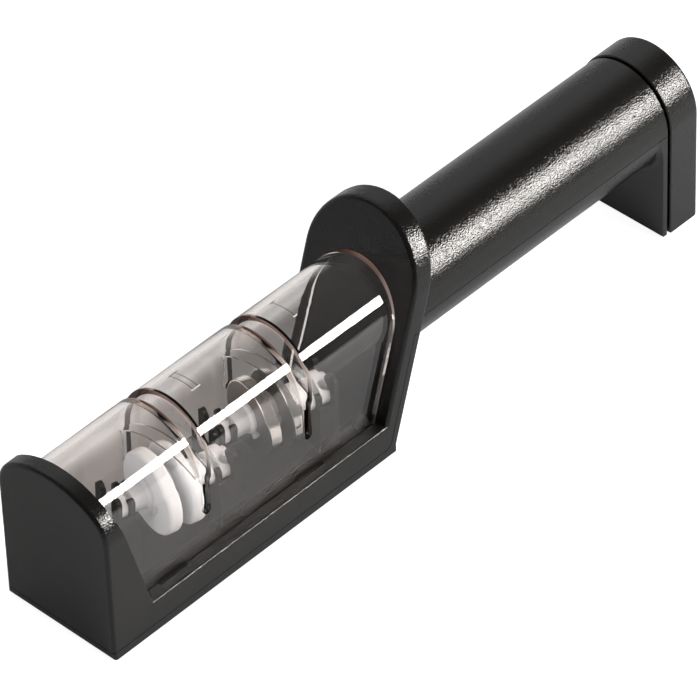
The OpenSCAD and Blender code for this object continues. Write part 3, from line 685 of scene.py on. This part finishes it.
def bent_rays(tree, x, y):
    """The Light Path node, and 1 for a ray bent by clear plastic that has lit no surface yet."""
    path = add_node(tree, "ShaderNodeLightPath", x, y)
    sharp = math_node(tree, "LESS_THAN", x + 200, y - 100, path.outputs["Diffuse Depth"], 0.5)
    return path, math_node(tree, "MULTIPLY", x + 400, y, path.outputs["Is Transmission Ray"], sharp)


def area_lamp(name, place, target, size, power, colour=(1.0, 1.0, 1.0), roll=0.0):
    """A rectangular lamp at a place, turned to a target and rolled, that the camera doesn't see.

    Rays bent by the clear cover don't meet it either, because the cover already lets its light
    through as shadow rays.
    """
    data = bpy.data.lights.new(name, "AREA")
    data.shape = "RECTANGLE"
    data.size, data.size_y = size
    data.energy = power
    data.color = colour
    lamp = bpy.data.objects.new(name, data)
    bpy.context.scene.collection.objects.link(lamp)
    lamp.location = place
    aim = (Vector(target) - Vector(place)).to_track_quat("-Z", "Y")
    lamp.rotation_euler = (aim @ Quaternion((0.0, 0.0, 1.0), roll)).to_euler()
    lamp.visible_camera = False
    lamp.visible_transmission = False
    return lamp


class SHARPENER_OT_stage(Operator):
    """Sets the pale floor, the soft lamps, the world and the camera"""

    bl_idname = "sharpener.stage"
    bl_label = "Studio"

    def execute(self, context):
        look = context.scene.sharpener_stage
        self.floor(look)
        self.world(context.scene, look)
        self.lamps(look)
        self.camera(context.scene)
        return {"FINISHED"}

    def floor(self, look):
        """A flat floor; the camera sees it mostly white, with the object's soft shadow kept. Rays bent
        by the cover see a painted shadow along the object and painted light past it.
        """
        reach = FLOOR_REACH
        corners = np.array([[(-reach, -reach, 0.0), (-reach, reach, 0.0)],
                            [(reach, -reach, 0.0), (reach, reach, 0.0)]])
        mesh = grid_mesh("floor", corners)
        mesh.flip_normals()
        floor = bpy.data.objects.new("floor", mesh)
        bpy.context.scene.collection.objects.link(floor)
        material, tree, shader = new_material("Pale floor", Base_Color=opaque(look.floor),
                                              Roughness=0.8)
        output = tree.nodes["Material Output"].inputs["Surface"]
        shader.inputs["Emission Color"].default_value = (1.0, 1.0, 1.0, 1.0)
        path, bent = bent_rays(tree, -1500, 400)
        coords = add_node(tree, "ShaderNodeTexCoord", -1300, 0)
        place = add_node(tree, "ShaderNodeSeparateXYZ", -1100, 0)
        tree.links.new(coords.outputs["Object"], place.inputs["Vector"])
        # Painted shadow band along the object, with painted light past it, for rays bent by the cover
        past_painted_shadow = add_node(tree, "ShaderNodeMapRange", -900, 0, interpolation_type="SMOOTHSTEP")
        tree.links.new(math_node(tree, "ABSOLUTE", -1000, 150, place.outputs["Y"]),
                       past_painted_shadow.inputs["Value"])
        for label, value in (("From Min", PAINTED_SHADOW_EDGE), ("From Max", PAINTED_SHADOW_END),
                             ("To Min", 0.0), ("To Max", FLOOR_PAINTED_LIGHT_THROUGH)):
            past_painted_shadow.inputs[label].default_value = value
        behind = math_node(tree, "MULTIPLY", -600, 100, bent, past_painted_shadow.outputs["Result"])
        unbent = math_node(tree, "GREATER_THAN", -800, 300, path.outputs["Is Glossy Ray"],
                           path.outputs["Is Transmission Ray"])
        mirrored = math_node(tree, "MULTIPLY", -600, 300, unbent, FLOOR_MIRRORED)
        direct = math_node(tree, "MULTIPLY", -600, 500, path.outputs["Is Camera Ray"], FLOOR_WHITE)
        strength = math_node(tree, "MAXIMUM", -200, 300, direct,
                             math_node(tree, "MAXIMUM", -400, 200, mirrored, behind))
        tree.links.new(strength, shader.inputs["Emission Strength"])
        tree.links.new(shader.outputs[0], output)
        mesh.materials.append(material)

    def world(self, scene, look):
        """A plain world, white to the camera and softer as a light."""
        world = bpy.data.worlds.new("Studio")
        world.use_nodes = True
        tree = world.node_tree
        tree.nodes.clear()
        output = add_node(tree, "ShaderNodeOutputWorld", 300, 0)
        soft = add_node(tree, "ShaderNodeBackground", -200, 100)
        soft.inputs["Color"].default_value = (1.0, 1.0, 1.0, 1.0)
        soft.inputs["Strength"].default_value = look.world
        white = add_node(tree, "ShaderNodeBackground", -200, -200)
        white.inputs["Color"].default_value = (1.0, 1.0, 1.0, 1.0)
        path, bent = bent_rays(tree, -1500, 300)
        straight = math_node(tree, "LESS_THAN", -1000, 500, path.outputs["Glossy Depth"], 0.5)
        through = math_node(tree, "MULTIPLY", -800, 400, bent, straight)
        mix = add_node(tree, "ShaderNodeMixShader", 0, 0)
        seen = math_node(tree, "MAXIMUM", -400, 300, path.outputs["Is Camera Ray"], through)
        backdrop = self.far_backdrop(tree, path, bent)
        tree.links.new(math_node(tree, "MAXIMUM", -200, 300, seen, backdrop), mix.inputs[0])
        tree.links.new(soft.outputs[0], mix.inputs[1])
        tree.links.new(white.outputs[0], mix.inputs[2])
        tree.links.new(mix.outputs[0], output.inputs["Surface"])
        scene.world = world

    def far_backdrop(self, tree, path, bent):
        """Share of the white backdrop that a mirrored or bent ray sees, low on the far side."""
        coords = add_node(tree, "ShaderNodeTexCoord", -1300, -200)
        heading = add_node(tree, "ShaderNodeSeparateXYZ", -1100, -200)
        tree.links.new(coords.outputs["Generated"], heading.inputs["Vector"])
        share = []
        for axis, (start, end) in (("Y", BACKDROP_ACROSS), ("Z", BACKDROP_LOW)):
            soft_edge = add_node(tree, "ShaderNodeMapRange", -900, -200 - 250 * len(share),
                                 interpolation_type="SMOOTHSTEP")
            tree.links.new(heading.outputs[axis], soft_edge.inputs["Value"])
            soft_edge.inputs["From Min"].default_value = start
            soft_edge.inputs["From Max"].default_value = end
            share.append(soft_edge.outputs["Result"])
        unbent = math_node(tree, "GREATER_THAN", -1100, 150, path.outputs["Is Glossy Ray"],
                           path.outputs["Is Transmission Ray"])
        mirrored = math_node(tree, "MULTIPLY", -900, 150, unbent, BACKDROP_MIRRORED)
        seen = math_node(tree, "MAXIMUM", -700, 100, mirrored, bent)
        low = math_node(tree, "MULTIPLY", -700, -200, share[0], share[1])
        return math_node(tree, "MULTIPLY", -500, 0, seen, low)

    def lamps(self, look):
        """A long lamp low on the near side, a wide panel over the far side and a soft front fill.

        The long lamp has weaker twins, one for the floor and one for the wheel sets.
        """
        floor = bpy.data.objects["floor"]
        wheel_sets = [frame["nodes"][node]
                      for node in SPINDLE_NODES + CERAMIC_NODES + DIAMOND_NODES]
        key = area_lamp("Key", KEY_PLACE, KEY_TARGET, KEY_SIZE, look.key, KEY_COLOUR, KEY_ROLL)
        self.keep_off(key, [floor] + wheel_sets)
        for label, share, pieces in (("floor", KEY_ON_FLOOR, [floor]),
                                     ("wheels", KEY_ON_WHEELS, wheel_sets)):
            dimmed = area_lamp(f"Key on {label}", KEY_PLACE, KEY_TARGET, KEY_SIZE,
                               share * look.key, roll=KEY_ROLL)
            self.keep_to(dimmed, pieces)
        ceiling = area_lamp("Ceiling", CEILING_PLACE, CEILING_TARGET, CEILING_SIZE, look.ceiling)
        self.keep_off(ceiling, [frame["nodes"][node] for node in
                                ("clear_cover",) + SPINDLE_NODES + CERAMIC_NODES])
        fill = area_lamp("Fill", FILL_PLACE, FILL_TARGET, FILL_SIZE, look.fill)
        self.keep_to(fill, wheel_sets)
        fill.light_linking.blocker_collection = fill.light_linking.receiver_collection

    def keep_to(self, lamp, pieces):
        """Keeps a lamp to some pieces, so that it isn't mirrored in the others."""
        lit = bpy.data.collections.new(f"{lamp.name} only")
        for piece in pieces:
            lit.objects.link(piece)
        lamp.light_linking.receiver_collection = lit

    def keep_off(self, lamp, pieces):
        """Keeps a lamp off some pieces, which would mirror it or show it too strongly."""
        dark = bpy.data.collections.new(f"{lamp.name} not on")
        for piece in pieces:
            dark.objects.link(piece)
        for entry in dark.collection_objects:
            entry.light_linking.link_state = "EXCLUDE"
        lamp.light_linking.receiver_collection = dark

    def camera(self, scene):
        """The photograph's own camera: place and turn as fitted, with a long lens."""
        data = bpy.data.cameras.new("Camera")
        data.sensor_width = SENSOR_WIDTH
        data.lens = FOCAL_LENGTH / PICTURE_WIDTH * SENSOR_WIDTH
        data.clip_start, data.clip_end = NEAR_CLIP, FAR_CLIP
        camera = bpy.data.objects.new("Camera", data)
        scene.collection.objects.link(camera)
        camera.matrix_world = Matrix.Translation(CAMERA_PLACE) @ Matrix(CAMERA_TURN).to_4x4()
        scene.camera = camera
        scene.view_settings.view_transform = "Standard"


OPERATORS = (SHARPENER_OT_housing, SHARPENER_OT_fittings, SHARPENER_OT_cover,
             SHARPENER_OT_numerals, SHARPENER_OT_wheels, SHARPENER_OT_stage)
SETTINGS = {"sharpener_housing": SharpenerHousing, "sharpener_cover": SharpenerCover,
            "sharpener_wheels": SharpenerWheels, "sharpener_stage": SharpenerStage}


class SHARPENER_PT_panel(Panel):
    bl_idname = "SHARPENER_PT_panel"
    bl_label = "Knife Sharpener"
    bl_space_type = "VIEW_3D"
    bl_region_type = "UI"
    bl_category = "Sharpener"

    def draw(self, context):
        for attribute, group in SETTINGS.items():
            settings = getattr(context.scene, attribute)
            box = self.layout.box()
            for name in group.__annotations__:
                box.prop(settings, name)
        for operator in OPERATORS:
            self.layout.operator(operator.bl_idname)


def register():
    for cls in (*SETTINGS.values(), *OPERATORS, SHARPENER_PT_panel):
        bpy.utils.register_class(cls)
    for attribute, group in SETTINGS.items():
        setattr(bpy.types.Scene, attribute, PointerProperty(type=group))


def unregister():
    for attribute in SETTINGS:
        delattr(bpy.types.Scene, attribute)
    for cls in (SHARPENER_PT_panel, *reversed(OPERATORS), *reversed(SETTINGS.values())):
        bpy.utils.unregister_class(cls)


def main():
    register()
    bpy.ops.sharpener.housing()
    bpy.ops.sharpener.fittings()
    bpy.ops.sharpener.cover()
    bpy.ops.sharpener.numerals()
    bpy.ops.sharpener.wheels()
    bpy.ops.sharpener.stage()


if __name__ == "__main__":
    main()
